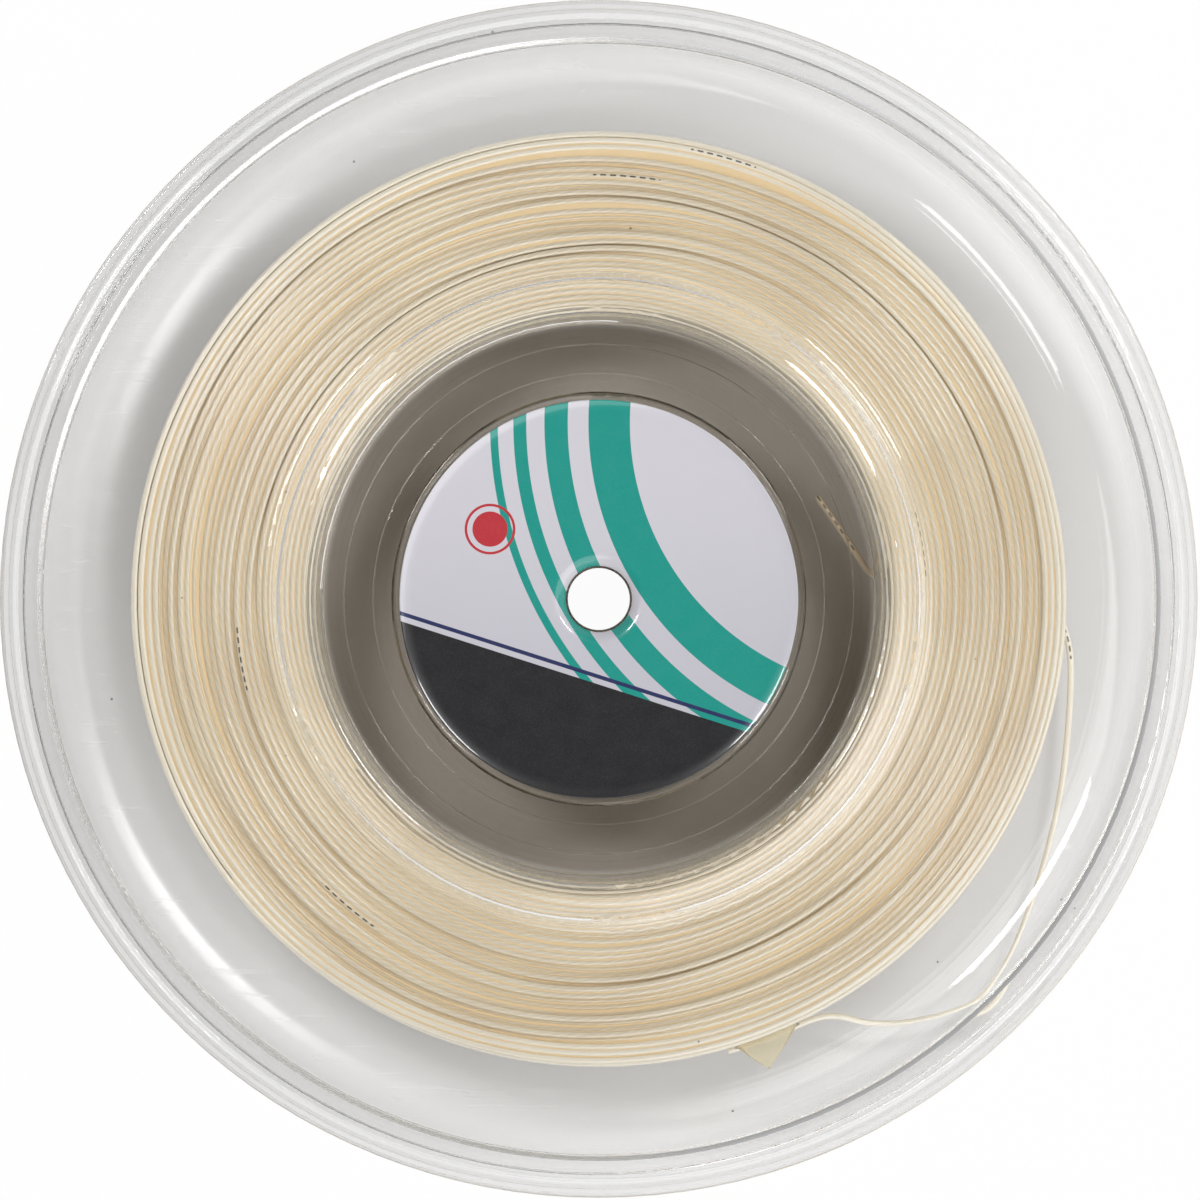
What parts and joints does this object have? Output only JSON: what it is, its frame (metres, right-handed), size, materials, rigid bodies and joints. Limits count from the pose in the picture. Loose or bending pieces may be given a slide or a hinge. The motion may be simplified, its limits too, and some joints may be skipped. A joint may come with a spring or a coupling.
{
  "type": "string reel",
  "caption": "Clear plastic reel of cream racket string: two flanged halves pressed together around the winding, with a hub cup, a spindle bore and a loose loop of string.",
  "frame": {"origin": "centre of the rear rim's plane, on the surface that the reel lies on", "axes": "+Z along the spindle axis, out of the label side; +X and +Y across the flanges, +X where the loose string leaves the winding"},
  "size_m": [0.23, 0.23, 0.045],
  "materials": {
    "clear_plastic": "clear, polished moulding",
    "label": "printed film, satin",
    "string": "coated multifilament, glossy",
    "tape": "clear adhesive tape, glossy"
  },
  "bodies": {
    "root": {"front_half": "clear_plastic", "rear_half": "clear_plastic", "label": "label", "string_core": "string", "string_outer_layer": "string", "string_tail": "string", "string_start": "string", "end_tape": "tape"}
  },
  "joints": []
}
